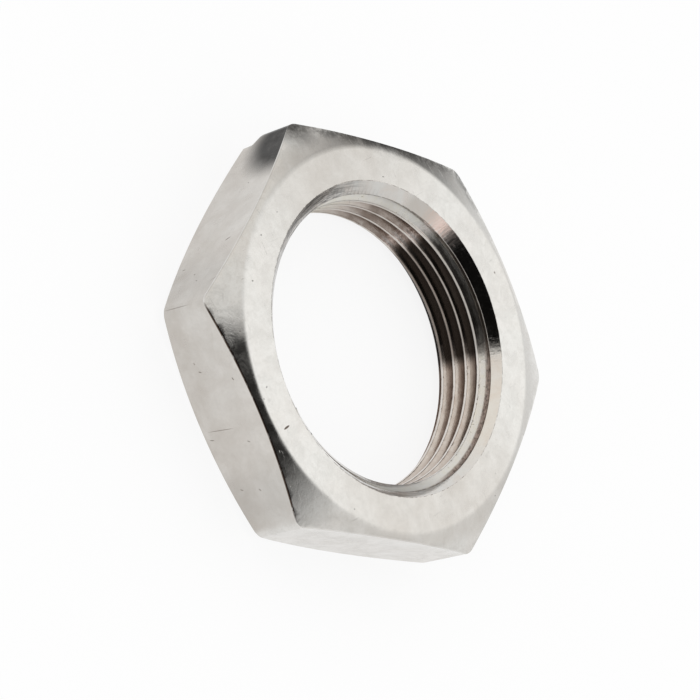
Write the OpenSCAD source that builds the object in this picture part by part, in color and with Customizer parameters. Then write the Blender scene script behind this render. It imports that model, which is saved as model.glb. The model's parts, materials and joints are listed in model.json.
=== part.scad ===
// Hexagonal lock nut for a 1 1/4 inch pipe thread, turned from plated brass bar.
// It lies on its rear face: the bore axis is Z, and the origin is on the axis in that face.
// The worn front face with the wider ring looks up, and one hex corner points along +X.

/* [Hex body] */
// Width across the flats
across_flats = 55; // [40:0.5:80]
// Thickness between the two faces
thickness = 12; // [6:0.5:25]
// Turned diameter that takes the sharp tips off the six corners
over_corners_d = 63; // [45:0.1:92]

/* [Corner chamfers] */
// Diameter of the flat ring left on the front face
front_ring_d = 53; // [38:0.1:78]
// Slope of the front chamfer against the face, in degrees
front_slope = 22; // [10:0.5:45]
// Diameter of the flat ring left on the rear face
rear_ring_d = 54.2; // [38:0.1:79]
// Slope of the rear chamfer against the face, in degrees
rear_slope = 25.7; // [10:0.1:45]

/* [Thread] */
// Diameter at the thread roots
major_d = 41.91; // [20:0.01:60]
// Diameter of the bore, which the thread crests keep
bore_d = 39.3; // [18:0.01:58]
// Distance from one turn to the next
pitch = 2.309; // [1:0.001:4]
// Angle between the two flanks of a groove, in degrees
flank_angle = 55; // [50:1:60]
// The helix winds to the left, as the photograph shows it
left_hand = true;
// Height of the groove's middle above the rear face, on the +X side
groove_start = 3.9; // [0:0.05:6]

/* [Countersinks] */
// Diameter of the front mouth of the bore
front_mouth_d = 43.4; // [20:0.1:62]
// Diameter of the rear mouth of the bore
rear_mouth_d = 42.8; // [20:0.1:62]
// Slope of both countersinks against the bore axis, in degrees
countersink_slope = 45; // [30:1:60]

/* [Chipped corner] */
// Height of the chip's level floor above the rear face
chip_floor = 3.4; // [0:0.1:8]
// Height above the rear face at which the chip runs out
chip_top = 4.9; // [0:0.1:10]
// Depth of the chip, measured in from the sharp corner
chip_depth = 1.05; // [0:0.05:3]
// Direction of the chipped corner, in degrees
chip_corner = 180; // [0:60:300]

/* [Hidden] */
spare = 1;
nickel = [0.78, 0.77, 0.75];
corner_r = across_flats / 2 / cos(30);
front_drop = (over_corners_d - front_ring_d) / 2 * tan(front_slope);
rear_rise = (over_corners_d - rear_ring_d) / 2 * tan(rear_slope);
half_flank = tan(flank_angle / 2);
root_w = pitch / 6;
// The groove cutter reaches a little way into the open bore
cutter_in = 0.3;
steps = 60;
turns = ceil(thickness / pitch) + 3;
hand = left_hand ? -1 : 1;

// Half the groove's width at a distance r from the axis
function groove_half(r) = root_w / 2 + (major_d / 2 - r) * half_flank;

// The four corners of the groove's section, as distance from the axis and height
groove_section = let(r_in = bore_d / 2 - cutter_in, w = groove_half(r_in)) [
    [r_in, -w],
    [major_d / 2, -root_w / 2],
    [major_d / 2, root_w / 2],
    [r_in, w]
];

// One corner of the section after i steps round the helix
function on_helix(p, i) = let(a = hand * 360 * i / steps) [
    p[0] * cos(a),
    p[0] * sin(a),
    p[1] + pitch * i / steps
];

// Flat sides of a hexagon bar, longer than the nut at both ends
module hex_bar() {
    translate([0, 0, -spare])
        cylinder(r = corner_r, h = thickness + 2 * spare, $fn = 6);
}

// Turned outline: rear chamfer, short cylinder over the corners, front chamfer
module turned_outline() {
    rotate_extrude($fn = 180)
        polygon([
            [0, 0],
            [rear_ring_d / 2, 0],
            [over_corners_d / 2, rear_rise],
            [over_corners_d / 2, thickness - front_drop],
            [front_ring_d / 2, thickness],
            [0, thickness]
        ]);
}

// Bore at the crest diameter
module bore() {
    translate([0, 0, -spare])
        cylinder(d = bore_d, h = thickness + 2 * spare, $fn = 180);
}

// Cone that opens towards +Z, from the bore to a mouth at height 0
module countersink(mouth_d) {
    depth = (mouth_d - bore_d) / 2 / tan(countersink_slope);
    grow = spare * tan(countersink_slope);
    translate([0, 0, -depth])
        cylinder(d1 = bore_d, d2 = mouth_d + 2 * grow, h = depth + spare, $fn = 180);
}

// Helical cutter for the thread groove, run out past both faces
module thread_groove() {
    n = turns * steps;
    k = len(groove_section);
    points = [for (i = [0:n], p = groove_section) on_helix(p, i)];
    sides = [
        for (i = [0:n - 1], j = [0:k - 1])
            let(a = i * k + j, b = i * k + (j + 1) % k)
                each [[a, b, b + k], [a, b + k, a + k]]
    ];
    near = [[for (j = [k - 1:-1:0]) j]];
    far = [[for (j = [0:k - 1]) n * k + j]];
    faces = concat(sides, near, far);
    flipped = [for (f = faces) [for (j = [len(f) - 1:-1:0]) f[j]]];
    translate([0, 0, groove_start - 3 * pitch])
        polyhedron(points, left_hand ? flipped : faces, convexity = turns);
}

// Wedge knocked off the rear end of one corner
module corner_chip() {
    floor_r = corner_r - chip_depth;
    rotate([90, 0, chip_corner])
        linear_extrude(across_flats / 4, center = true)
            polygon([
                [floor_r, -spare],
                [floor_r, chip_floor],
                [corner_r, chip_top],
                [corner_r + spare, chip_top],
                [corner_r + spare, -spare]
            ]);
}

module lock_nut() {
    color(nickel)
        difference() {
            intersection() {
                hex_bar();
                turned_outline();
            }
            bore();
            translate([0, 0, thickness]) countersink(front_mouth_d);
            mirror([0, 0, 1]) countersink(rear_mouth_d);
            thread_groove();
            corner_chip();
        }
}

lock_nut();
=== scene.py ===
"""A lock nut in satin nickel plate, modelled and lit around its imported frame."""

import json
import math

import bmesh
import bpy
from bpy.props import FloatProperty, FloatVectorProperty, PointerProperty
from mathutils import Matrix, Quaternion, Vector


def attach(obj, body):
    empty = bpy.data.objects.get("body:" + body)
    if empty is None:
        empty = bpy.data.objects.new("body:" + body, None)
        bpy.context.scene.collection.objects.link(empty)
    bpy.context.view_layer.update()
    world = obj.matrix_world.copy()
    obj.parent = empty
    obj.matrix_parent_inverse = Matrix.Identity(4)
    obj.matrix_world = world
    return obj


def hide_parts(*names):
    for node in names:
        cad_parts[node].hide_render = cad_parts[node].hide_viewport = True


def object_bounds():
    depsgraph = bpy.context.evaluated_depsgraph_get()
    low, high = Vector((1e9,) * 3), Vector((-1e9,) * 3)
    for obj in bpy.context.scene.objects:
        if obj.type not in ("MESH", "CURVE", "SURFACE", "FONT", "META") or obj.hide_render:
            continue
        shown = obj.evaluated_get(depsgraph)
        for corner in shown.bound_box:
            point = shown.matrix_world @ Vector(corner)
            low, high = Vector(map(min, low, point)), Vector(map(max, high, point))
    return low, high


bl_info = {
    "name": "Lock nut",
    "version": (1, 0, 0),
    "blender": (4, 5, 0),
    "location": "View3D > Sidebar > Lock nut",
    "description": "Models a threaded hexagonal lock nut in satin nickel plate and its studio",
    "category": "Add Mesh",
}

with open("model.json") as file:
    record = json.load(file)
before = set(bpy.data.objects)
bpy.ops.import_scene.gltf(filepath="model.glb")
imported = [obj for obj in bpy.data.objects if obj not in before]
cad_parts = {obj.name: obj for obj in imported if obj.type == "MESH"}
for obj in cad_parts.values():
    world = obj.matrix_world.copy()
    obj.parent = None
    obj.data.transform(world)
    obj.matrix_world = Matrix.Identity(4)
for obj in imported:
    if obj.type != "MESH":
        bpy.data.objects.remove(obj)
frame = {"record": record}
CAD_LOW, CAD_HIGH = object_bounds()
MM = 0.001
NODE = "lock_nut"
THREAD_MOUNT = next(m for m in frame["record"]["mounts"] if m["name"] == "thread")


def length_setting(name, description, value):
    """A property that holds a length in metres."""
    return FloatProperty(name=name, description=description, default=value, unit="LENGTH")


def angle_setting(name, description, degrees):
    """A property that holds an angle, with its default given in degrees."""
    return FloatProperty(
        name=name, description=description, default=math.radians(degrees), subtype="ANGLE")


def colour_setting(name, description, value):
    """A property that holds a colour."""
    return FloatVectorProperty(
        name=name, description=description, default=value, subtype="COLOR", size=3, min=0, max=1)


class LockNutSizes(bpy.types.PropertyGroup):
    """Sizes of the nut, in metres, taken from the frame where it gives them."""

    across_flats: length_setting(
        "Across flats", "Distance between two opposite flats", CAD_HIGH.y - CAD_LOW.y)
    across_corners: length_setting(
        "Across corners", "Distance over two opposite rounded corners", CAD_HIGH.x - CAD_LOW.x)
    thickness: length_setting("Thickness", "Distance between the two faces", CAD_HIGH.z - CAD_LOW.z)
    front_ring: length_setting("Front ring", "Diameter of the flat ring on the front face", 53 * MM)
    front_slope: angle_setting("Front chamfer", "Slope of the front chamfer against the face", 22)
    rear_ring: length_setting("Rear ring", "Diameter of the flat ring on the rear face", 54.2 * MM)
    rear_slope: angle_setting("Rear chamfer", "Slope of the rear chamfer against the face", 25.7)
    chamfer_crown: length_setting(
        "Chamfer crown", "How far the middle of a chamfer stands proud of its cone", 0.06 * MM)
    crest: length_setting(
        "Crest diameter", "Diameter of the bore over the thread crests",
        2 * THREAD_MOUNT["dims"]["r_mm"] * MM)
    root: length_setting("Root diameter", "Diameter of the bore at the thread roots", 41.91 * MM)
    pitch: length_setting("Pitch", "Distance from one turn of the thread to the next", 2.309 * MM)
    flank: angle_setting("Flank angle", "Angle between the two flanks of a groove", 55)
    crest_round: length_setting("Crest rounding", "Radius that wear has left on the thread crests", 0.26 * MM)
    groove_start: length_setting("Groove start", "Height of a groove's middle on the +X side", 3.9 * MM)
    front_mouth: length_setting("Front mouth", "Diameter of the front countersink at the face", 43.4 * MM)
    rear_mouth: length_setting("Rear mouth", "Diameter of the rear countersink at the face", 42.8 * MM)
    chip_depth: length_setting("Chip depth", "Depth of the chip, in from the sharp corner", 1.05 * MM)
    chip_floor: length_setting("Chip floor", "Height of the chip's level floor above the rear face", 3.4 * MM)
    chip_top: length_setting("Chip top", "Height above the rear face at which the chip runs out", 4.9 * MM)
    knock: length_setting("Knock", "How far the front of the chipped corner is knocked down", 0.17 * MM)
    ring_round: length_setting(
        "Ring edge", "Half the width over which a ring rolls into its chamfer", 0.42 * MM)
    edge_round: length_setting("Flat edge", "Width of the rounding where a chamfer meets a flat", 0.11 * MM)
    lip_round: length_setting(
        "Groove lip", "Width of the rounding where the groove breaks out of the cone", 0.13 * MM)
    mouth_round: length_setting("Mouth edge", "Width of the rounding at the bore's mouths", 0.14 * MM)


class LockNutFinish(bpy.types.PropertyGroup):
    """Colours and gloss of the plated metal."""

    plate: colour_setting("Nickel", "Reflectance of the nickel plate", (0.75, 0.74, 0.715))
    dull: colour_setting("Dull nickel", "Reflectance of the cloudy, dulled patches", (0.64, 0.63, 0.60))
    warm: colour_setting(
        "Warm nickel", "Reflectance where the brass shows warm through the plate", (0.72, 0.675, 0.63))
    # Also paints shade on the two sides that mirror a darker floor
    film: colour_setting("Film", "Reflectance of the dull film on two sides of the nut", (0.55, 0.515, 0.475))
    # Holds the dark of pits and scratches, and also paints the dark reflection round the chipped corner and
    # on the cone
    tarnish_and_dark_reflection: colour_setting(
        "Tarnish", "Colour of dark tarnish round the chipped corner and in pits", (0.020, 0.018, 0.016))
    # Dirt, and in the thread's roots and under its crests also painted shade
    stain_and_shade: colour_setting("Stain", "Colour of dried dirt deep in the thread", (0.10, 0.072, 0.055))
    # Paints the dark stretch of the thread: dirt, and a painted reflection of the dark room
    deep_stain_and_dark_reflection: colour_setting(
        "Deep stain", "Colour of the dark stretch of the thread", (0.075, 0.062, 0.052))
    thread_brown: colour_setting(
        "Thread brown", "Reflectance of the brown film on the thread flanks", (0.35, 0.27, 0.23))
    thread_pale: colour_setting(
        "Thread pale", "Reflectance of the cleaner stretches of the flanks", (0.58, 0.505, 0.455))
    ruddy: colour_setting(
        "Thread ruddy", "Reflectance of the darker, ruddy stretches of the flanks", (0.20, 0.145, 0.115))
    # Paints a highlight at the end of the dark thread and on the cone beside it
    glint: colour_setting(
        "Thread glint", "Reflectance of the painted glint at the end of the dark thread", (0.86, 0.785, 0.75))
    cream: colour_setting(
        "Cream nickel", "Reflectance of the yellowed plate at the front of the thread", (0.76, 0.735, 0.65))
    roughness: FloatProperty(
        name="Roughness", description="Mean roughness of the satin plate",
        default=0.22, min=0, max=1)


class LockNutStage(bpy.types.PropertyGroup):
    """Camera, floor and light."""

    azimuth: angle_setting("Azimuth", "Direction of the camera round the bore axis, from +X", 260.73)
    elevation: angle_setting("Elevation", "Height of the camera's line of sight above the floor", 43.89)
    roll: angle_setting("Roll", "Turn of the camera about its line of sight", 73.89)
    distance: length_setting("Distance", "Distance from the camera to the point aimed at", 381.8 * MM)
    aim: FloatVectorProperty(
        name="Aim", description="Point in the middle of the picture",
        default=(-0.28 * MM, -2.09 * MM, 6.0 * MM), subtype="XYZ", unit="LENGTH", size=3)
    lens: FloatProperty(
        name="Lens", description="Focal length on a 36 mm sensor, in millimetres",
        default=145.3, min=10, max=500)
    floor: colour_setting("Floor", "Colour of the floor", (0.93, 0.93, 0.93))
    floor_glow: FloatProperty(
        name="Floor glow", description="Share of the floor's look that is plain white",
        default=0.86, min=0, max=1)


def activate(obj):
    """Leaves obj alone selected and active."""
    bpy.ops.object.select_all(action="DESELECT")
    obj.select_set(True)
    bpy.context.view_layer.objects.active = obj


def edit(obj):
    """Opens obj in edit mode with nothing selected and gives its bmesh."""
    activate(obj)
    bpy.ops.object.mode_set(mode="EDIT")
    bpy.ops.mesh.select_all(action="DESELECT")
    return bmesh.from_edit_mesh(obj.data)


def close_edit(obj):
    """Leaves edit mode."""
    bmesh.update_edit_mesh(obj.data)
    bpy.ops.object.mode_set(mode="OBJECT")


def select(obj, mesh, kind, test):
    """Selects the vertices, edges or faces that pass a test."""
    bpy.ops.mesh.select_all(action="DESELECT")
    bpy.ops.mesh.select_mode(type=kind)
    for part in {"VERT": mesh.verts, "EDGE": mesh.edges, "FACE": mesh.faces}[kind]:
        part.select = test(part)
    mesh.select_flush_mode()
    bmesh.update_edit_mesh(obj.data)


def radius(point):
    """Distance of a point from the bore axis."""
    return math.hypot(point.x, point.y)


def cylinder(name, r, low, high, sides, turn=0.0):
    """A closed cylinder from one height to another, with its place in its mesh."""
    bpy.ops.object.select_all(action="DESELECT")
    bpy.ops.mesh.primitive_cylinder_add(
        vertices=sides, radius=r, depth=high - low, location=(0, 0, (low + high) / 2),
        rotation=(0, 0, turn))
    obj = bpy.context.active_object
    obj.name = name
    bpy.ops.object.transform_apply(location=True, rotation=True, scale=True)
    return obj


def combine(target, other, operation):
    """Applies an exact boolean of other to target and deletes other."""
    activate(target)
    cut = target.modifiers.new(operation.lower(), "BOOLEAN")
    cut.operation = operation
    cut.solver = "EXACT"
    cut.object = other
    bpy.ops.object.modifier_apply(modifier=cut.name)
    bpy.data.objects.remove(other)


# How far a cutter reaches past the nut, and how close two heights are that count as one
SPARE = 3 * MM
TOUCH = 0.001 * MM
TURNED_SIDES = 360
THREAD_STEPS = 180
# A small turn keeps the edges of the turned facets off the hexagon's corners
TURNED_TURN = math.radians(0.37)
# The angle at the axis over half a flat
HALF_FLAT = math.radians(30)


def sharp_corner(s):
    """Distance from the axis of a corner that isn't rounded."""
    return s.across_flats / 2 / math.cos(HALF_FLAT)


def hexagon_bar(s):
    """A length of hexagon bar with its six long edges rounded."""
    sharp = sharp_corner(s)
    bar = cylinder("lock_nut_plated", sharp, -SPARE, s.thickness + SPARE, 6, HALF_FLAT)
    tip_round = (sharp - s.across_corners / 2) / (1 / math.cos(HALF_FLAT) - 1)
    mesh = edit(bar)
    select(bar, mesh, "EDGE", lambda e: abs(e.verts[0].co.z - e.verts[1].co.z) > s.thickness)
    bpy.ops.mesh.bevel(offset=tip_round * math.tan(HALF_FLAT), segments=8, affect="EDGES")
    close_edit(bar)
    return bar


def chamfer_profile(ring, slope, soft, wide, crown):
    """Steps of a turned chamfer from the outside in: pairs of (radius, depth below the face)."""
    fall = math.tan(slope)
    start = ring / 2 + soft
    outer = 5
    profile = []
    for k in range(outer):
        t = k / outer
        r = wide + (start - wide) * t
        profile.append((r, (r - ring / 2) * fall - crown * 4 * t * (1 - t)))
    parts = 8
    for k in range(parts + 1):
        r = start - 2 * soft * k / parts
        profile.append((r, fall * (r - ring / 2 + soft) ** 2 / (4 * soft)))
    return profile


def turned_disc(s):
    """What the lathe leaves: a disc with a chamfer at each face that rolls softly into the ring."""
    wide = s.across_corners / 2 + 1 * MM
    front = chamfer_profile(s.front_ring, s.front_slope, s.ring_round, wide, s.chamfer_crown)
    rear = chamfer_profile(s.rear_ring, s.rear_slope, s.ring_round * 0.6, wide, s.chamfer_crown)
    high, low = s.thickness - front[0][1], rear[0][1]
    disc = cylinder("turned_disc", wide, low, high, TURNED_SIDES, TURNED_TURN)
    mesh = edit(disc)
    for height, profile, way in ((high, front, 1), (low, rear, -1)):
        select(disc, mesh, "FACE", lambda f: abs(f.calc_center_median().z - height) < TOUCH)
        for (r, depth), (next_r, next_depth) in zip(profile, profile[1:]):
            bpy.ops.mesh.inset(thickness=r - next_r)
            bpy.ops.transform.translate(value=(0, 0, way * (depth - next_depth)))
        mesh = bmesh.from_edit_mesh(disc.data)
    close_edit(disc)
    return disc


def countersink(s, mouth, height, way):
    """A 45 degree cone that opens to a mouth of the bore, way +1 at the front and -1 behind."""
    inner = s.crest / 2 - 0.8 * MM
    depth = mouth / 2 - inner
    low = height - depth if way > 0 else height - SPARE
    high = height + SPARE if way > 0 else height + depth
    cone = cylinder("countersink", inner, low, high, TURNED_SIDES, TURNED_TURN)
    mesh = edit(cone)
    tip = high if way > 0 else low
    select(cone, mesh, "VERT", lambda v: abs(v.co.z - tip) < TOUCH)
    grow = (mouth / 2 + SPARE) / inner
    bpy.ops.transform.resize(value=(grow, grow, 1), center_override=(0, 0, tip))
    close_edit(cone)
    return cone


def ridge_section(s):
    """Half outline of the thread ridge: places as (distance from axis, half width)."""
    slope = math.tan(s.flank / 2)
    root_flat = s.pitch / 6
    base_half = (s.pitch - root_flat) / 2
    crest_r, root_r = s.crest / 2, s.root / 2
    crest_half = base_half - (root_r - crest_r) * slope
    turn = math.radians(90) - s.flank / 2
    back = s.crest_round * math.tan(turn / 2)
    # The foot reaches into the wall and rounds off into the flank
    fillet = 0.17 * MM
    points = [(root_r + 0.25 * MM, base_half + 0.1 * MM), (root_r - 0.02 * MM, base_half + 0.07 * MM),
              (root_r - fillet, base_half - fillet * slope + 0.01 * MM)]
    parts = 4
    flat_end = crest_half - back
    for i in range(parts + 1):
        a = turn * (1 - i / parts)
        r = crest_r + s.crest_round * (1 - math.cos(a))
        points.append((r, flat_end + s.crest_round * math.sin(a)))
    return points


def face_outwards(obj):
    """Closes the ends of a mesh that is open there, and turns its faces outwards."""
    edit(obj)
    bpy.ops.mesh.select_all(action="SELECT")
    bpy.ops.mesh.fill_holes(sides=0)
    bpy.ops.mesh.select_all(action="SELECT")
    bpy.ops.mesh.normals_make_consistent(inside=False)
    close_edit(obj)


def thread_ridge(s):
    """The helical ridge between the grooves, longer than the nut, wound to the left."""
    half = ridge_section(s)
    outline = half + [(r, -w) for r, w in reversed(half)]
    turns = math.ceil(s.thickness / s.pitch) + 3
    middle = s.groove_start + s.pitch / 2 - 3 * s.pitch
    bpy.ops.object.select_all(action="DESELECT")
    bpy.ops.mesh.primitive_circle_add(vertices=len(outline), radius=MM)
    ridge = bpy.context.active_object
    ridge.name = "thread_ridge"
    for vert, (r, w) in zip(ridge.data.vertices, outline):
        vert.co = (r, 0, middle + w)
    activate(ridge)
    screw = ridge.modifiers.new("screw", "SCREW")
    screw.axis = "Z"
    screw.angle = -2 * math.pi
    screw.screw_offset = s.pitch
    screw.iterations = turns
    screw.steps = screw.render_steps = THREAD_STEPS
    screw.use_merge_vertices = False
    bpy.ops.object.modifier_apply(modifier=screw.name)
    face_outwards(ridge)
    return ridge


def corner_chip(s):
    """The wedge knocked off the rear end of the corner on the -X side."""
    corner = sharp_corner(s)
    floor_r = corner - s.chip_depth
    wide = 16 * MM
    bpy.ops.object.select_all(action="DESELECT")
    bpy.ops.mesh.primitive_cube_add(size=1, location=(0, 0, 0))
    chip = bpy.context.active_object
    chip.name = "corner_chip"
    places = {
        (-1, -1): (floor_r, -SPARE), (-1, 1): (floor_r, s.chip_floor),
        (1, -1): (corner + SPARE, -SPARE), (1, 1): (corner, s.chip_top),
    }
    for vert in chip.data.vertices:
        key = (1 if vert.co.x > 0 else -1, 1 if vert.co.z > 0 else -1)
        r, z = places[key]
        vert.co = (-r, vert.co.y * wide, z)
    face_outwards(chip)
    return chip


def wear_corner(obj, s):
    """Takes a little off the front of the corner on the -X side, as a knock has on the real nut."""
    tip = Vector((-s.across_corners / 2, 0, 10 * MM))
    mesh = edit(obj)
    select(obj, mesh, "VERT", lambda v: (v.co - tip).length < 0.9 * MM)
    bpy.ops.transform.translate(
        value=(0, 0, -s.knock), use_proportional_edit=True, proportional_edit_falloff="SMOOTH",
        proportional_size=5 * MM, use_proportional_connected=False)
    close_edit(obj)


def round_groove_lips(obj, s):
    """Rounds the edges where the thread breaks out of the front cone, and keeps shallow ones crisp."""
    # Bends in radians: less is no lip, a shallow lip stays crisp, and a steep one is rounded
    no_lip, shallow = 0.2, 1.0
    near, off_bore, off_mouth = 0.004 * MM, 0.1 * MM, 0.16 * MM
    mesh = edit(obj)

    def select_lips(way, height, mouth, low, high):
        """Selects the lips on the cone whose mouth is at a height, way +1 in front and -1 behind."""

        def on_cone(p):
            r = radius(p)
            there = abs(p.z - way * r - height + way * mouth / 2) < near
            return there and s.crest / 2 + off_bore < r < mouth / 2 - off_mouth

        def is_lip(edge):
            inside = all(on_cone(v.co) for v in edge.verts) and len(edge.link_faces) == 2
            return inside and low < edge.calc_face_angle(0) <= high

        select(obj, mesh, "EDGE", is_lip)

    select_lips(1, s.thickness, s.front_mouth, no_lip, shallow)
    bpy.ops.mesh.mark_sharp()
    select_lips(-1, 0, s.rear_mouth, no_lip, math.pi)
    bpy.ops.mesh.mark_sharp()
    select_lips(1, s.thickness, s.front_mouth, shallow, math.pi)
    bpy.ops.mesh.bevel(offset=s.lip_round, segments=3, affect="EDGES", clamp_overlap=False,
                       face_strength_mode="ALL")
    close_edit(obj)


def soften_edges(obj, s):
    """Rounds the outside edges, each kind by its own width."""
    widest = max(s.mouth_round, s.edge_round)
    # Facets of the turned surfaces bend less than an edge, and those of the rounded corners not much more
    least_bend, corner_bend = math.radians(9), math.radians(15)
    inner, mouths = s.rear_mouth / 2 - 0.2 * MM, s.front_mouth / 2 + 0.3 * MM
    mesh = bmesh.new()
    mesh.from_mesh(obj.data)
    weight = mesh.edges.layers.float.new("bevel_weight_edge")
    for edge in mesh.edges:
        if len(edge.link_faces) != 2:
            continue
        bend = edge.calc_face_angle(0)
        middle = (edge.verts[0].co + edge.verts[1].co) / 2
        r = radius(middle)
        upright = abs(edge.verts[0].co.z - edge.verts[1].co.z) > 2 * MM
        if bend < least_bend or r < inner or (r >= mouths and upright and bend < corner_bend):
            continue
        edge[weight] = (s.mouth_round if r < mouths else s.edge_round) / widest
    mesh.to_mesh(obj.data)
    mesh.free()
    activate(obj)
    bevel = obj.modifiers.new("soft edges", "BEVEL")
    bevel.limit_method = "WEIGHT"
    bevel.offset_type = "OFFSET"
    bevel.width = widest
    bevel.segments = 3
    bevel.use_clamp_overlap = True
    bevel.face_strength_mode = "FSTR_AFFECTED"
    bevel.miter_outer = "MITER_ARC"
    bpy.ops.object.modifier_apply(modifier=bevel.name)


def level_faces(obj, s):
    """Brings the few bevel points that stand microns proud of a face back into it."""
    mesh = edit(obj)
    for face_z, proud in ((s.thickness, lambda v: v.co.z > s.thickness), (0.0, lambda v: v.co.z < 0)):
        select(obj, mesh, "VERT", proud)
        bpy.ops.transform.resize(value=(1, 1, 0), center_override=(0, 0, face_z))
    close_edit(obj)


def feed(tree, spot, value):
    """Links a socket to an input, or sets the input to a plain value."""
    if isinstance(value, bpy.types.NodeSocket):
        tree.links.new(value, spot)
    else:
        spot.default_value = value


def wire(tree, kind, **inputs):
    """Adds a node and feeds its inputs, which are given by name, or by number as i0, i1 and so on."""
    new = tree.nodes.new(kind)
    for name, value in inputs.items():
        numbered = name[0] == "i" and name[1:].isdigit()
        feed(tree, new.inputs[int(name[1:]) if numbered else name], value)
    return new


def math_node(tree, operation, *values):
    """A Math node's output."""
    new = wire(tree, "ShaderNodeMath", **{f"i{i}": v for i, v in enumerate(values)})
    new.operation = operation
    return new.outputs[0]


def plus(tree, a, b):
    """The sum of two values."""
    return math_node(tree, "ADD", a, b)


def less(tree, a, b):
    """The first value less the second."""
    return math_node(tree, "SUBTRACT", a, b)


def size_of(tree, value):
    """A value without its sign."""
    return math_node(tree, "ABSOLUTE", value)


def inverse(tree, value):
    """A mask turned round: 1 less the value."""
    return less(tree, 1.0, value)


def most_of(tree, *values):
    """The greatest of several values."""
    most = values[0]
    for value in values[1:]:
        most = math_node(tree, "MAXIMUM", most, value)
    return most


def mask(tree, *parts):
    """The product of several masks."""
    value = parts[0]
    for part in parts[1:]:
        value = math_node(tree, "MULTIPLY", value, part)
    return value


def ramp(tree, value, low, high, smooth=True, out_low=0.0, out_high=1.0):
    """Maps a value from low..high to out_low..out_high, and holds it at the ends."""
    new = wire(tree, "ShaderNodeMapRange", **{
        "Value": value, "From Min": low, "From Max": high, "To Min": out_low, "To Max": out_high})
    new.interpolation_type = "SMOOTHSTEP" if smooth else "LINEAR"
    return new.outputs[0]


def blend_colour(tree, factor, a, b):
    """A Mix node's colour output."""
    new = tree.nodes.new("ShaderNodeMix")
    new.data_type = "RGBA"
    for name, value in (("Factor_Float", factor), ("A_Color", a), ("B_Color", b)):
        plain_colour = name != "Factor_Float" and not isinstance(value, bpy.types.NodeSocket)
        spot = next(i for i in new.inputs if i.identifier == name)
        feed(tree, spot, (*value, 1) if plain_colour else value)
    return next(o for o in new.outputs if o.identifier == "Result_Color")


def dot(tree, vector, axis):
    """The dot product of a vector with a fixed direction."""
    new = wire(tree, "ShaderNodeVectorMath", i0=vector, i1=axis)
    new.operation = "DOT_PRODUCT"
    return new.outputs["Value"]


# Each pair is a plane's normal and half the width of its soft edge. The dark room behind the
# camera shows between the soft boxes where all three are positive.
ROOM_GAP = (
    ((0.872, -0.451, 0.188), 0.055),
    ((-0.772, -0.453, 0.446), 0.17),
    ((0.026, -0.902, 0.431), 0.13),
)
DARK_CORNER = (-0.307, 0.946, 0.103)
CORNER_SIDES = (((0.886, 0.359, 0.292), -0.05, 0.07), ((-0.986, -0.062, 0.154), -0.09, 0.11))
# Softer patches of the room: axis, reach and full extent in degrees, and colour
ROOM_PATCHES = (
    ((0.116, 0.711, 0.693), 42, 13, (1.16, 1.16, 1.15)),
    ((-0.900, -0.100, 0.420), 60, 20, (0.95, 0.91, 0.85)),
    ((0.700, -0.375, 0.608), 12, 4, (1.0, 0.83, 0.77)),
)
ROOM_COLOUR, DARK_COLOUR = (0.82, 0.82, 0.815), (0.018, 0.017, 0.016)


def around(tree, direction, axis, reach, full, strength=1.0):
    """A soft round patch of sky: strength within full degrees of an axis, 0 beyond reach."""
    away = math_node(tree, "ARCCOSINE", dot(tree, direction, axis))
    return ramp(tree, away, math.radians(reach), math.radians(full), False, out_high=strength)


def studio_world():
    """A plain bright room. The metal also sees a soft box, a warm side and lamp, and two dark parts."""
    world = bpy.data.worlds.new("studio")
    world.use_nodes = True
    tree = world.node_tree
    direction = tree.nodes.new("ShaderNodeTexCoord").outputs["Generated"]
    gap = 1.0
    for normal, soft in ROOM_GAP:
        side = ramp(tree, dot(tree, direction, normal), -soft, soft)
        gap = math_node(tree, "MULTIPLY", side, gap)
    corner = around(tree, direction, DARK_CORNER, 52, 0, 0.90)
    for normal, low, high in CORNER_SIDES:
        corner = math_node(tree, "MULTIPLY", corner, ramp(tree, dot(tree, direction, normal), low, high))
    dark = most_of(tree, gap, corner)
    room = ROOM_COLOUR
    for axis, reach, full, colour in ROOM_PATCHES:
        room = blend_colour(tree, around(tree, direction, axis, reach, full), room, colour)
    room = blend_colour(tree, dark, room, DARK_COLOUR)
    glossy = tree.nodes.new("ShaderNodeLightPath").outputs["Is Glossy Ray"]
    colour = blend_colour(tree, glossy, (1.0, 1.0, 1.0), room)
    back = tree.nodes["Background"]
    tree.links.new(colour, back.inputs["Color"])
    back.inputs["Strength"].default_value = 1.0
    return world


def socket_value(node, name, value):
    """Sets a node's input to a plain value."""
    node.inputs[name].default_value = value


def noise(tree, vector, scale, detail=4.0, roughness=0.55, distortion=0.0):
    """Noise from 0 to 1 on a vector in millimetres, with scale in waves per millimetre."""
    new = wire(tree, "ShaderNodeTexNoise", Vector=vector, Scale=scale, Detail=detail,
               Roughness=roughness, Distortion=distortion)
    return new.outputs["Fac"]


def mottling(tree, vector, waves, low, high, *smooth, **out):
    """Noise with its scale, detail and so on in waves, mapped by a ramp."""
    return ramp(tree, noise(tree, vector, *waves), low, high, *smooth, **out)


def stretched(tree, vector, scale, turn=(0.0, 0.0, 0.0)):
    """A vector turned and scaled by a Mapping node."""
    new = wire(tree, "ShaderNodeMapping", Vector=vector, Scale=scale, Rotation=turn)
    return new.outputs["Vector"]


def new_group(name, inputs, outputs):
    """An empty shader node group with named sockets, its input node's sockets and its output node."""
    group = bpy.data.node_groups.new(name, "ShaderNodeTree")
    for label, kind, value in inputs:
        made = group.interface.new_socket(name=label, in_out="INPUT", socket_type=kind)
        if value is not None:
            made.default_value = value
    for label, kind in outputs:
        group.interface.new_socket(name=label, in_out="OUTPUT", socket_type=kind)
    return group, group.nodes.new("NodeGroupInput").outputs, group.nodes.new("NodeGroupOutput")


FLOAT, VECTOR = "NodeSocketFloat", "NodeSocketVector"


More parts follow.
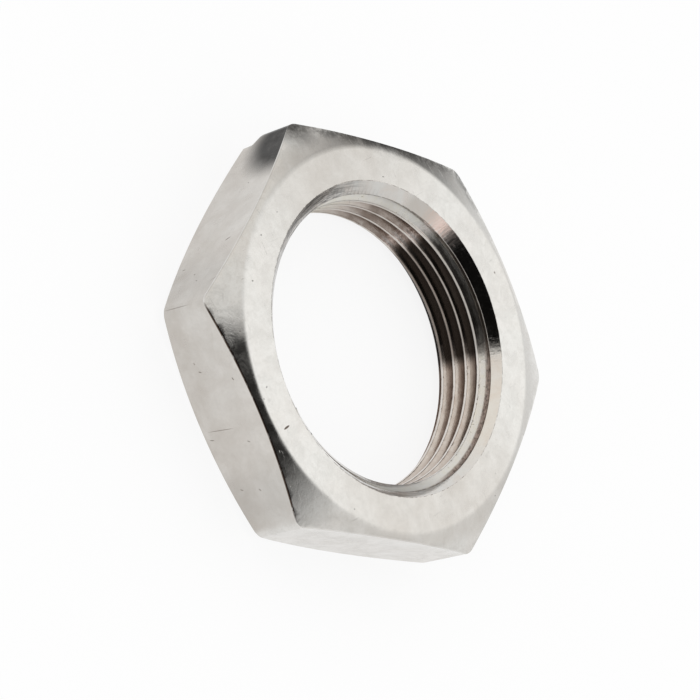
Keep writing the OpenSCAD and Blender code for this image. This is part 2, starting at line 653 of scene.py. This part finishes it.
def nut_places_group(s):
    """Where a point lies on the nut, in millimetres: its radius, angle and distance from edges."""
    group, given, out = new_group(
        "nut_places", [("Vector", VECTOR, None)],
        [("Place", VECTOR), ("Radius", FLOAT), ("Height", FLOAT), ("Angle", FLOAT),
         ("Flat edge", FLOAT), ("Side depth", FLOAT), ("Side", FLOAT), ("Ridge", FLOAT)])
    scaled = wire(group, "ShaderNodeVectorMath", i0=given["Vector"], i1=(1000, 1000, 1000))
    scaled.operation = "MULTIPLY"
    place = scaled.outputs[0]
    xyz = wire(group, "ShaderNodeSeparateXYZ", Vector=place).outputs
    square = plus(group, math_node(group, "MULTIPLY", xyz["X"], xyz["X"]),
                       math_node(group, "MULTIPLY", xyz["Y"], xyz["Y"]))
    r = math_node(group, "SQRT", square)
    angle = math_node(group, "ARCTAN2", xyz["Y"], xyz["X"])
    flats = []
    for turn in (30, 90, 150):
        a = math.radians(turn)
        flats.append(size_of(group, dot(group, place, (math.cos(a), math.sin(a), 0))))
    most = most_of(group, *flats)
    in_from_flat = less(group, s.across_flats / 2 / MM, most)
    past_ring = less(group, r, s.front_ring / 2 / MM)
    fall = math_node(group, "MULTIPLY", past_ring, math.tan(s.front_slope))
    below = less(group, less(group, s.thickness / MM, fall), xyz["Z"])
    flat_edge = most_of(group, in_from_flat, size_of(group, below))
    pitch = s.pitch / MM
    climb = math_node(group, "MULTIPLY", angle, pitch / math.tau)
    ridge = plus(group, less(group, xyz["Z"], s.groove_start / MM + pitch / 2),
                      climb)
    ridge = size_of(group, math_node(group, "WRAP", ridge, pitch / 2, -pitch / 2))
    side = math_node(group, "MULTIPLY", ramp(group, in_from_flat, 0.42, 0.32), ramp(group, below, 0.14, 0.24))
    for label, value in (("Place", place), ("Radius", r), ("Height", xyz["Z"]), ("Angle", angle),
                         ("Flat edge", flat_edge), ("Side depth", in_from_flat), ("Side", side),
                         ("Ridge", ridge)):
        group.links.new(value, out.inputs[label])
    return group


def satin_group():
    """Tumbled and dulled plate: cloudy mottling, fine grain, hairline scratches and small pits."""
    group, given, out = new_group(
        "tumbled_satin",
        [("Place", VECTOR, None), ("Pit amount", FLOAT, 0.5)],
        [("Cloud", FLOAT), ("Blotch", FLOAT), ("Grain", FLOAT), ("Scratch", FLOAT), ("Pit", FLOAT)])
    place = given["Place"]
    cloud = mottling(group, place, (0.45, 6, 0.68, 0.4), 0.32, 0.70)
    blotch = mottling(group, place, (0.11, 3, 0.5, 0.6), 0.35, 0.66)
    grain = noise(group, place, 4.0, 3, 0.6)
    scratch = None
    for scale, turn in (((0.22, 7.0, 0.22), 0.5), ((6.0, 0.2, 0.3), -0.35), ((0.3, 0.25, 6.5), 0.15)):
        lines = noise(group, stretched(group, place, scale, (turn, turn, turn)), 1.0, 2, 0.5)
        line = ramp(group, lines, 0.735, 0.775)
        scratch = line if scratch is None else most_of(group, scratch, line)
    bent = wire(group, "ShaderNodeVectorMath", i0=place, i1=wire(
        group, "ShaderNodeTexNoise", Vector=place, Scale=0.6, Detail=1.0).outputs["Color"])
    bent.operation = "ADD"
    cells = wire(group, "ShaderNodeTexVoronoi", Vector=bent.outputs[0], Scale=0.62)
    cell = wire(group, "ShaderNodeSeparateColor", Color=cells.outputs["Color"]).outputs
    chosen = ramp(group, cell[0], 0.62, 0.66)
    size = ramp(group, cell[1], 0.0, 1.0, False, 0.02, 0.10)
    pit = ramp(group, less(group, size, cells.outputs["Distance"]), 0.0, 0.05)
    faint = ramp(group, cell[2], 0.0, 1.0, False, 0.25, 1.0)
    pit = mask(group, pit, chosen, faint, given["Pit amount"])
    for label, value in (("Cloud", cloud), ("Blotch", blotch), ("Grain", grain),
                         ("Scratch", scratch), ("Pit", pit)):
        group.links.new(value, out.inputs[label])
    return group


def place_group(tree, group, **inputs):
    """Puts a node group into a tree and gives its outputs."""
    new = tree.nodes.new("ShaderNodeGroup")
    new.node_tree = group
    for name, value in inputs.items():
        feed(tree, new.inputs[name.replace("_", " ")], value)
    return new.outputs


# Stretches of the nut that differ in finish: where each starts and ends in degrees round the axis,
# from +X, and half the width over which it fades. Upper, lower and near are as the photograph shows it
STRETCHES = {
    "filmed flats": (178, 299, 1),
    "cleaner flat": (-59, -1, 1),
    "upper flat": (180, 240, 1),
    "end of upper flat": (226, 239, 6),
    "end of lower flat": (286, 299, 6),
    "ring by the chip": (145, 200, 24),
    "ring opposite": (-48, 28, 24),
    "painted dark rim": (111, 179, 4),
    "burred edge": (241, 298, 2),
    "bright edge": (301, 358, 2),
    "dark thread": (64, 117, 3),
    "near thread": (-70, 64, 5),
    "ruddy thread": (116, 148, 8),
    "ruddy roots": (30, 66, 14),
    "cream thread": (160, 205, 9),
    "thread glint": (118, 124, 2.5),
    "dull first groove": (-42, 25, 12),
    "crusted groove": (2, 64, 9),
    "rough bore": (132, 265, 12),
    "dark reflection on cone": (66, 114, 3),
    "cone glint": (116, 120, 2),
    "grey cone": (122, 137, 3),
    "chalky cone": (164, 212, 8),
    "smeared cone": (168, 225, 14),
    "darker cone crescent": (306, 336, 10),
    "chattered cone": (50, 130, 8),
}


def stretch(tree, at, name):
    """1 on a named stretch of the nut, 0 elsewhere."""
    start, end, soft = STRETCHES[name]
    middle = math.radians((start + end) / 2)
    half = math.radians((end - start) / 2)
    away = less(tree, at["Angle"], middle)
    away = math_node(tree, "WRAP", away, math.pi, -math.pi)
    away = size_of(tree, away)
    return ramp(tree, away, half + math.radians(soft), half - math.radians(soft))


def wound(tree, at, round_scale, up_scale, **more):
    """A vector that runs round the bore axis in X, per radian, and up it in Y, per millimetre."""
    turn = math_node(tree, "MULTIPLY", at["Angle"], round_scale)
    rise = math_node(tree, "MULTIPLY", at["Height"], up_scale)
    return wire(tree, "ShaderNodeCombineXYZ", X=turn, Y=rise, **more).outputs[0]


def near_point(tree, place, point, reach, full):
    """1 within full millimetres of a point, falling to 0 at its reach."""
    gap = wire(tree, "ShaderNodeVectorMath", i0=place, i1=point)
    gap.operation = "DISTANCE"
    return ramp(tree, gap.outputs["Value"], reach, full)


def mark(tree, place, start, end, width, strength):
    """A short scratch or nick between two points in millimetres, drawn as a lens."""
    start, end = Vector(start), Vector(end)
    half, middle = (end - start).length / 2, (start + end) / 2
    from_middle = wire(tree, "ShaderNodeVectorMath", i0=place, i1=middle)
    from_middle.operation = "SUBTRACT"
    whole = wire(tree, "ShaderNodeVectorMath", i0=from_middle.outputs[0])
    whole.operation = "LENGTH"
    along = dot(tree, from_middle.outputs[0], (end - start).normalized())
    along = math_node(tree, "MULTIPLY", along, along)
    across = math_node(tree, "MULTIPLY", whole.outputs["Value"], whole.outputs["Value"])
    across = less(tree, across, along)
    size = plus(tree, math_node(tree, "DIVIDE", along, half * half),
                     math_node(tree, "DIVIDE", across, width * width))
    return ramp(tree, size, 1.0, 0.35, out_high=strength)


def on_nut(tree, places):
    """Where a point of the surface lies on the nut."""
    return place_group(tree, places, Vector=tree.nodes.new("ShaderNodeTexCoord").outputs["Object"])


def coat(tree, under, top, *parts):
    """Lays a colour over another one, where the product of some masks lets it show."""
    return blend_colour(tree, mask(tree, *parts), under, top)


def start_material(name):
    """A material with its tree and its Principled shader."""
    mat = bpy.data.materials.new(name)
    mat.use_nodes = True
    return mat, mat.node_tree, mat.node_tree.nodes["Principled BSDF"]


def bump(tree, shader, *layers):
    """Bump nodes in a row, each (height, depth in millimetres)."""
    normal = None
    for height, depth in layers:
        new = wire(tree, "ShaderNodeBump", Height=height, Strength=1.0, Distance=depth * MM)
        if normal is not None:
            tree.links.new(normal, new.inputs["Normal"])
        normal = new.outputs["Normal"]
    tree.links.new(normal, shader.inputs["Normal"])


# Marks seen on the real nut: two ends in millimetres, half the width, and strength
MARKS = (
    ((3.53, -25.1, 12.0), (3.39, -23.75, 12.0), 0.17, 0.95),
    ((-1.0, 24.6, 12.0), (-0.6, 24.6, 12.0), 0.16, 0.7),
    ((-21.27, -18.17, 8.3), (-21.52, -17.73, 9.3), 0.12, 0.75),
    ((-19.6, -21.05, 1.7), (-19.6, -21.05, 2.5), 0.10, 0.6),
    ((-18.79, -22.45, 5.0), (-18.70, -22.60, 5.4), 0.10, 0.65),
    ((-18.10, -23.65, 6.1), (-18.02, -23.79, 6.6), 0.09, 0.5),
    ((-17.59, -24.53, 9.4), (-17.86, -24.06, 10.7), 0.10, 0.35),
    ((-16.0, -27.1, 1.6), (-15.7, -27.15, 9.2), 0.10, 0.4),
    ((0.8, -27.5, 0.9), (1.2, -27.5, 6.3), 0.08, 0.45),
    ((-5.3, -27.5, 9.4), (-4.8, -27.5, 9.6), 0.11, 0.7),
    ((-8.5, -27.5, 3.8), (-8.1, -27.5, 4.0), 0.11, 0.5),
    ((-7.2, -27.5, 4.0), (-6.9, -27.5, 4.6), 0.10, 0.6),
    ((1.9, -27.5, 0.9), (2.1, -27.5, 1.8), 0.09, 0.6),
    ((3.2, -27.5, 7.4), (3.5, -27.5, 8.0), 0.10, 0.5),
    ((9.7, -27.5, 5.9), (10.1, -27.5, 6.3), 0.12, 0.5),
    ((9.2, -27.5, 2.6), (9.5, -27.5, 3.2), 0.10, 0.5),
)


def plated_material(f, s, places, satin):
    """Satin nickel on the outside: cloudy, scratched, pitted, and with a painted dark reflection at one
    corner.
    """
    mat, tree, shader = start_material("nickel_plate")
    at = on_nut(tree, places)
    look = place_group(tree, satin, Place=at["Place"], Pit_amount=1.0)
    colour = coat(tree, f.plate, f.dull, look["Cloud"], 0.5)
    off_ring = ramp(tree, at["Height"], 11.97, 11.8, out_low=0.6)
    colour = coat(tree, colour, f.warm, look["Blotch"], off_ring, 0.35)
    fine = mottling(tree, at["Place"], (1.7, 6, 0.75), 0.42, 0.68)
    colour = coat(tree, colour, f.film, fine, off_ring, 0.28)
    # Two sides carry a dull, warm film, partly painted shade where they mirror a darker floor, and the front
    # ring two fainter patches of it
    thicker = ramp(tree, at["Height"], 9.0, 2.0, out_low=0.75)
    film = mask(tree, at["Side"], stretch(tree, at, "filmed flats"), thicker)
    patches = most_of(tree, stretch(tree, at, "ring by the chip"), stretch(tree, at, "ring opposite"))
    film = most_of(tree, film, mask(tree, patches, ramp(tree, at["Height"], 10.5, 11.6), 0.75))
    film = most_of(tree, film, mask(tree, at["Side"], stretch(tree, at, "cleaner flat"), 0.3))
    uneven = mottling(tree, at["Place"], (0.22, 5, 0.62, 0.3), 0.3, 0.7, out_low=0.55)
    colour = coat(tree, colour, f.film, film, uneven)
    duller = most_of(tree, stretch(tree, at, "end of upper flat"), stretch(tree, at, "end of lower flat"))
    colour = coat(tree, colour, f.tarnish_and_dark_reflection, at["Side"], duller, 0.12)
    # Painted dark reflection round the chipped corner, standing in for the dark room the metal mirrors there:
    # on the flat beside it and along the far chamfer's rim
    reach = near_point(tree, at["Place"], (-30.5, -2.16, 10.3), 8.5, 3.8)
    patchy = mottling(tree, at["Place"], (0.8, 5, 0.7), 0.45, 0.75, out_low=1.0, out_high=0.95)
    under = most_of(tree, at["Side"], ramp(tree, at["Height"], 5.6, 4.6))
    tarnish_and_dark_reflection = mask(tree, reach, patchy, under)
    rim = mask(tree, ramp(tree, at["Side depth"], 2.2, 0.1), stretch(tree, at, "painted dark rim"),
               mottling(tree, at["Place"], (0.7, 5, 0.75), 0.30, 0.62),
               inverse(tree, at["Side"]), ramp(tree, at["Height"], 7.0, 8.0), 0.68)
    tip = near_point(tree, at["Place"], (-31.3, 0.4, 9.6), 5.2, 0.6)
    tip = mask(tree, tip, mottling(tree, at["Place"], (0.9, 5, 0.7), 0.3, 0.6, out_low=0.7), 0.9)
    tarnish_and_dark_reflection = most_of(tree, tarnish_and_dark_reflection, rim, tip)
    colour = blend_colour(tree, tarnish_and_dark_reflection, colour, f.tarnish_and_dark_reflection)
    colour = coat(tree, colour, f.tarnish_and_dark_reflection, ramp(tree, at["Flat edge"], 0.18, 0.06),
                  stretch(tree, at, "upper flat"), 0.12)
    # Dirt in the burr along the near chamfer's edge, and dotted along the bore's front mouth
    burr = mask(tree, ramp(tree, at["Flat edge"], 0.20, 0.08), stretch(tree, at, "burred edge"),
                mottling(tree, at["Place"], (0.6, 4, 0.7), 0.30, 0.45))
    round_mouth = size_of(tree, less(tree, at["Radius"], s.front_mouth / 2 / MM))
    dots = mask(tree, ramp(tree, round_mouth, 0.13, 0.05), ramp(tree, at["Height"], 11.5, 11.8),
                mottling(tree, at["Place"], (1.3, 4, 0.75), 0.42, 0.6), 0.6)
    burr = most_of(tree, burr, dots)
    for start, end, width, strength in MARKS:
        burr = most_of(tree, burr, mark(tree, at["Place"], start, end, width, strength))
    colour = blend_colour(tree, burr, colour, f.stain_and_shade)
    colour = coat(tree, colour, f.tarnish_and_dark_reflection, look["Pit"], 0.8)
    colour = coat(tree, colour, f.tarnish_and_dark_reflection, look["Scratch"], 0.10)
    tree.links.new(colour, shader.inputs["Base Color"])
    # The front chamfer is smoother than the rest, and the painted dark reflection rougher
    rough = ramp(tree, look["Cloud"], 0, 1, False, f.roughness - 0.06, f.roughness + 0.06)
    ring = s.front_ring / 2 / MM
    chamfer = ramp(tree, at["Radius"], ring - 0.1, ring + 0.5)
    chamfer = mask(tree, chamfer, ramp(tree, at["Height"], 9.0, 9.8))
    rough = less(tree, rough, mask(tree, chamfer, 0.07))
    rough = plus(tree, rough, mask(tree, tarnish_and_dark_reflection, at["Side"], 0.12))
    tree.links.new(rough, shader.inputs["Roughness"])
    # The edge of the bottom flat is worn bright
    worn = mask(tree, ramp(tree, at["Flat edge"], 0.22, 0.10), stretch(tree, at, "bright edge"), 0.7)
    tree.links.new(inverse(tree, worn), shader.inputs["Metallic"])
    bump(tree, shader, (look["Cloud"], 0.004), (look["Grain"], 0.0025), (look["Pit"], -0.04),
         (look["Scratch"], -0.006))
    return mat


def thread_material(f, s, places, satin):
    """Nickel in the bore: bright on the crests, brown with dried dirt and painted shade on the flanks and
    roots, with a painted dark reflection and painted glints on one stretch.
    """
    mat, tree, shader = start_material("thread_nickel")
    at = on_nut(tree, places)
    look = place_group(tree, satin, Place=at["Place"], Pit_amount=0.6)
    crest, root = s.crest / 2 / MM, s.root / 2 / MM
    slope = math.tan(s.flank / 2)
    crest_half = s.pitch / MM * 5 / 12 - (root - crest) * slope
    # Height less radius is the same all over the front cone
    cone_rise = (s.thickness - s.front_mouth / 2) / MM
    rise = less(tree, at["Height"], at["Radius"])
    on_cone = ramp(tree, rise, cone_rise - 0.12, cone_rise - 0.04)
    # How far a point lies down the flank from the worn crest, in millimetres
    wear = mottling(tree, at["Place"], (0.5, 3, 0.6), 0.3, 0.7, False, -0.06, 0.06)
    down = plus(tree, less(tree, at["Ridge"], crest_half - 0.22), wear)
    deep = ramp(tree, down, 0.0, 0.10)
    foot = ramp(tree, at["Radius"], crest + 0.25, crest + 0.85)
    in_groove = mask(tree, deep, inverse(tree, on_cone))
    # The dark stretch of the thread: dirt, and the dark room its grooves mirror, painted in
    shade = stretch(tree, at, "dark thread")
    near_side = stretch(tree, at, "near thread")
    lie = stretched(tree, at["Place"], (1, 1, 2.6))
    streaks = mottling(tree, lie, (0.5, 5, 0.7), 0.25, 0.7)
    film = mottling(tree, lie, (0.16, 3, 0.6), 0.35, 0.62)
    brown = blend_colour(tree, streaks, f.thread_brown, f.thread_pale)
    brown = coat(tree, brown, f.warm, film, 0.4)
    # The film thins out towards the front, where the grooves break out of the cone
    thin = ramp(tree, at["Height"], 8.2, 9.4)
    front_look = coat(tree, f.plate, f.cream, mottling(tree, at["Place"], (1.1, 5, 0.75), 0.35, 0.75))
    upper = blend_colour(tree, streaks, f.warm, f.thread_pale)
    groove = blend_colour(tree, foot, upper, brown)
    ruddy = mask(tree, foot, stretch(tree, at, "ruddy roots"))
    ruddy = most_of(tree, stretch(tree, at, "ruddy thread"), ruddy)
    groove = coat(tree, groove, f.ruddy, ruddy, mottling(tree, lie, (0.45, 5, 0.7), 0.3, 0.62, out_low=0.35),
                  0.8)
    groove = coat(tree, groove, f.cream, stretch(tree, at, "cream thread"), 0.7)
    groove = coat(tree, groove, front_look, thin, 0.9)
    # Darker towards the roots: dried dirt, and painted shade in the recess
    root_dirt_and_shade = mottling(tree, lie, (0.7, 4, 0.7), 0.28, 0.55, out_low=0.35, out_high=0.95)
    groove = coat(tree, groove, f.stain_and_shade, ramp(tree, at["Radius"], root - 0.32, root - 0.06), root_dirt_and_shade)
    specks = mottling(tree, at["Place"], (2.2, 3, 0.7), 0.66, 0.74)
    groove = coat(tree, groove, f.stain_and_shade, specks, 0.7)
    # Darker just under each crest on the near side: dirt, and painted shadow under the crest
    grime_and_shadow = mask(tree, ramp(tree, down, 0.0, 0.05), ramp(tree, down, 0.34, 0.12), near_side,
                 mottling(tree, stretched(tree, at["Place"], (1, 1, 2)), (1.1, 5, 0.8), 0.54, 0.62))
    groove = coat(tree, groove, f.stain_and_shade, grime_and_shadow, 0.9)
    # Streaks drawn along the turns
    drawn = noise(tree, wound(tree, at, 7.0, 4.0, Z=at["Radius"]), 1.0, 4, 0.7)
    lighter = mask(tree, thin, ramp(tree, drawn, 0.35, 0.68, out_low=0.15, out_high=0.7),
                   ramp(tree, at["Angle"], math.radians(72), math.radians(108), out_low=0.45, out_high=1.1))
    # Painted dark reflection over the dirt of the dark stretch, lighter in streaks towards the front
    groove = coat(tree, groove, f.deep_stain_and_dark_reflection, shade, less(tree, 0.9, lighter))
    # Painted glint: a pinkish highlight at the end of the dark stretch
    groove = coat(tree, groove, f.glint, stretch(tree, at, "thread glint"),
                  mottling(tree, at["Place"], (1.5, 4, 0.7), 0.35, 0.6), 0.75)
    # The cone: mottled and greyed, with a painted dark reflection on one stretch, darker stretches drawn
    # along the turns, a painted glint, and dirt where the groove breaks out of it
    patch = mottling(tree, at["Place"], (0.35, 4, 0.6, 0.5), 0.35, 0.7)
    cone = blend_colour(tree, patch, f.plate, f.warm)
    cone = coat(tree, cone, f.film, stretch(tree, at, "grey cone"), on_cone, 0.7)
    # How far a point lies across the lip, where a flank breaks out of the cone, in millimetres
    past = math_node(tree, "MULTIPLY", less(tree, at["Radius"], crest), slope)
    off_lip = less(tree, less(tree, at["Ridge"], past), crest_half)
    edge = mask(tree, ramp(tree, size_of(tree, off_lip), 0.13, 0.08),
                ramp(tree, rise, cone_rise - 0.30, cone_rise - 0.22))
    # Painted dark reflection: the black stretch of the cone stands for the dark room it mirrors
    black = mask(tree, stretch(tree, at, "dark reflection on cone"), inverse(tree, edge),
                 mottling(tree, at["Place"], (1.6, 4, 0.75), 0.66, 0.56, out_low=0.45), 0.8)
    cone = blend_colour(tree, black, cone, f.tarnish_and_dark_reflection)
    # Darker along the turns on one stretch of the cone
    cone = coat(tree, cone, f.stain_and_shade, stretch(tree, at, "darker cone crescent"), ramp(tree, drawn, 0.3, 0.6), 0.6)
    cone = coat(tree, cone, f.tarnish_and_dark_reflection, stretch(tree, at, "smeared cone"), ramp(tree, drawn, 0.42, 0.62), 0.68)
    # Painted glint on the cone beside the dark stretch
    cone = coat(tree, cone, f.glint, stretch(tree, at, "cone glint"), 0.4)
    broken = mottling(tree, at["Place"], (0.8, 4, 0.7), 0.35, 0.52)
    lip = size_of(tree, plus(tree, off_lip, 0.10))
    lip = mask(tree, ramp(tree, lip, 0.07, 0.02), inverse(tree, shade), inverse(tree, near_side))
    cone = coat(tree, cone, f.stain_and_shade, lip, broken, 0.8)
    crest_look = blend_colour(tree, near_side, f.film, f.warm)
    # Crest lines further back in the dark stretch are painted darker, a painted dark reflection
    crest_look = coat(tree, crest_look, f.ruddy, shade, ramp(tree, at["Height"], 8.0, 5.0), 0.7)
    cone = coat(tree, cone, crest_look, inverse(tree, on_cone), 0.8)
    colour = blend_colour(tree, in_groove, cone, groove)
    # A brown crust deep in the first groove, beside the edge of the cone
    crust = mask(tree, ramp(tree, at["Radius"], root - 0.62, root - 0.36), ramp(tree, at["Height"], 7.6, 8.6),
                 stretch(tree, at, "crusted groove"), inverse(tree, on_cone),
                 mottling(tree, at["Place"], (1.0, 5, 0.75), 0.25, 0.5, out_low=0.5))
    scaly = mottling(tree, stretched(tree, at["Place"], (1, 1, 3)), (1.3, 5, 0.75), 0.42, 0.62)
    crust_colour = blend_colour(tree, scaly, f.thread_brown, f.stain_and_shade)
    colour = blend_colour(tree, crust, colour, crust_colour)
    # In the dark stretch the lip is painted bright, a painted highlight where its rounded edge catches the
    # light
    edge = mask(tree, edge, shade)
    colour = blend_colour(tree, edge, colour, f.warm)
    colour = coat(tree, colour, f.stain_and_shade, look["Pit"], 0.7)
    tree.links.new(colour, shader.inputs["Base Color"])
    rough = ramp(tree, look["Cloud"], 0, 1, False, 0.06, 0.13)
    rough = plus(tree, rough, mask(tree, stretch(tree, at, "rough bore"), 0.23))
    rough = plus(tree, rough, mask(tree, inverse(tree, on_cone), 0.05))
    rough = plus(tree, rough, mask(tree, edge, shade, 0.2))
    tree.links.new(rough, shader.inputs["Roughness"])
    chalky = mask(tree, on_cone, stretch(tree, at, "chalky cone"), ramp(tree, at["Radius"], 21.1, 20.5), 0.6)
    # The lip's lower metallic brightens its painted highlight; elsewhere this is dirt, chalk, crust and dull
    # plate
    dirt = most_of(tree, mask(tree, in_groove, foot, 0.12), chalky, mask(tree, crust, 0.75),
                   mask(tree, thin, stretch(tree, at, "dull first groove"), 0.45), mask(tree, edge, 0.5))
    tree.links.new(inverse(tree, dirt), shader.inputs["Metallic"])
    # Chatter marks stand across the cone, and turning marks run round the bore
    chatter = noise(tree, wound(tree, at, 70.0, 0.8), 1.0, 3, 0.6)
    chatter = mask(tree, chatter, stretch(tree, at, "chattered cone"), on_cone)
    turning = noise(tree, wound(tree, at, 1.5, 7.0), 1.0, 2, 0.5)
    bump(tree, shader, (chatter, 0.016), (turning, 0.008), (look["Cloud"], 0.008), (look["Grain"], 0.003))
    return mat


def finish_nut(nut, s, f):
    """Gives the nut its two finishes: one outside, one in the bore."""
    places, satin = nut_places_group(s), satin_group()
    nut.data.materials.append(plated_material(f, s, places, satin))
    nut.data.materials.append(thread_material(f, s, places, satin))
    inner = max(s.rear_mouth / 2 - 0.05 * MM, s.front_mouth / 2 - 0.12 * MM)
    for face in nut.data.polygons:
        below = min(face.center.z, s.thickness - face.center.z)
        face.material_index = 1 if radius(face.center) < inner and below > 0.12 * MM else 0


def model_nut(s):
    """Cuts, threads and wears the nut."""
    nut = hexagon_bar(s)
    combine(nut, cylinder("root_bore", s.root / 2, -2 * SPARE, s.thickness + 2 * SPARE,
                          TURNED_SIDES, TURNED_TURN), "DIFFERENCE")
    combine(nut, thread_ridge(s), "UNION")
    combine(nut, turned_disc(s), "INTERSECT")
    combine(nut, countersink(s, s.front_mouth, s.thickness, 1), "DIFFERENCE")
    combine(nut, countersink(s, s.rear_mouth, 0, -1), "DIFFERENCE")
    combine(nut, corner_chip(s), "DIFFERENCE")
    wear_corner(nut, s)
    round_groove_lips(nut, s)
    soften_edges(nut, s)
    level_faces(nut, s)
    return nut


def shade_firmly(obj):
    """Shades an object smooth over its rounded edges, and keeps its broad faces flat."""
    activate(obj)
    bpy.ops.object.shade_smooth_by_angle(angle=math.radians(28))
    firm = obj.modifiers.new("firm faces", "WEIGHTED_NORMAL")
    firm.mode = "FACE_AREA"
    firm.weight = 100
    firm.keep_sharp = True
    firm.use_face_influence = True
    bpy.ops.object.modifier_apply(modifier=firm.name)


class LOCKNUT_OT_nut(bpy.types.Operator):
    """Model the plated nut with its thread, chamfers and chipped corner"""

    bl_idname = "lock_nut.add_nut"
    bl_label = "Add nut"

    def execute(self, context):
        s = context.scene.lock_nut_sizes
        nut = model_nut(s)
        shade_firmly(nut)
        finish_nut(nut, s, context.scene.lock_nut_finish)
        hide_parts(NODE)
        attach(nut, "root")
        return {"FINISHED"}


def floor_material(st):
    """A pale floor that the camera and the metal see nearly white, with the nut's shadow kept."""
    mat, tree, shader = start_material("floor")
    socket_value(shader, "Base Color", (*st.floor, 1))
    socket_value(shader, "Roughness", 0.9)
    socket_value(shader, "Specular IOR Level", 0.0)
    rays = tree.nodes.new("ShaderNodeLightPath").outputs
    seen = most_of(tree, rays["Is Camera Ray"], rays["Is Glossy Ray"])
    seen = most_of(tree, seen, rays["Is Transmission Ray"])
    white = tree.nodes.new("ShaderNodeEmission").outputs[0]
    both = wire(tree, "ShaderNodeMixShader", i0=mask(tree, seen, st.floor_glow),
                i1=shader.outputs[0], i2=white)
    tree.links.new(both.outputs[0], tree.nodes["Material Output"].inputs["Surface"])
    return mat


class LOCKNUT_OT_stage(bpy.types.Operator):
    """Add the floor, the lights and the camera"""

    bl_idname = "lock_nut.add_stage"
    bl_label = "Add stage"

    def execute(self, context):
        st = context.scene.lock_nut_stage
        bpy.ops.object.select_all(action="DESELECT")
        bpy.ops.mesh.primitive_plane_add(size=4, location=(0, 0, 0))
        floor = bpy.context.active_object
        floor.name = "floor"
        floor.data.materials.append(floor_material(st))
        context.scene.world = studio_world()
        back = Vector((math.cos(st.azimuth) * math.cos(st.elevation),
                       math.sin(st.azimuth) * math.cos(st.elevation),
                       math.sin(st.elevation)))
        camera_data = bpy.data.cameras.new("camera")
        camera_data.lens = st.lens
        camera_data.sensor_width = 36
        camera = bpy.data.objects.new("camera", camera_data)
        context.scene.collection.objects.link(camera)
        camera.rotation_mode = "QUATERNION"
        camera.location = Vector(st.aim) + back * st.distance
        level = (-back).to_track_quat("-Z", "Y")
        camera.rotation_quaternion = level @ Quaternion((0, 0, 1), st.roll)
        camera_data.clip_start = 0.01
        camera_data.clip_end = 20
        context.scene.camera = camera
        context.scene.view_settings.view_transform = "Standard"
        return {"FINISHED"}


class LOCKNUT_PT_panel(bpy.types.Panel):
    """Sidebar panel"""

    bl_label = "Lock nut"
    bl_idname = "LOCKNUT_PT_panel"
    bl_space_type = "VIEW_3D"
    bl_region_type = "UI"
    bl_category = "Lock nut"

    def draw(self, context):
        scene = context.scene
        for group in (scene.lock_nut_sizes, scene.lock_nut_finish, scene.lock_nut_stage):
            for name in group.__annotations__:
                self.layout.prop(group, name)
        self.layout.operator(LOCKNUT_OT_nut.bl_idname)
        self.layout.operator(LOCKNUT_OT_stage.bl_idname)


CLASSES = (LockNutSizes, LockNutFinish, LockNutStage, LOCKNUT_OT_nut, LOCKNUT_OT_stage, LOCKNUT_PT_panel)


def register():
    """Registers the classes and hangs the settings on the scene."""
    for cls in CLASSES:
        bpy.utils.register_class(cls)
    bpy.types.Scene.lock_nut_sizes = PointerProperty(type=LockNutSizes)
    bpy.types.Scene.lock_nut_finish = PointerProperty(type=LockNutFinish)
    bpy.types.Scene.lock_nut_stage = PointerProperty(type=LockNutStage)


def unregister():
    """Takes away what register added."""
    del bpy.types.Scene.lock_nut_stage
    del bpy.types.Scene.lock_nut_finish
    del bpy.types.Scene.lock_nut_sizes
    for cls in reversed(CLASSES):
        bpy.utils.unregister_class(cls)


def main():
    """Models the nut and sets the stage."""
    register()
    bpy.ops.lock_nut.add_nut()
    bpy.ops.lock_nut.add_stage()


if __name__ == "__main__":
    main()
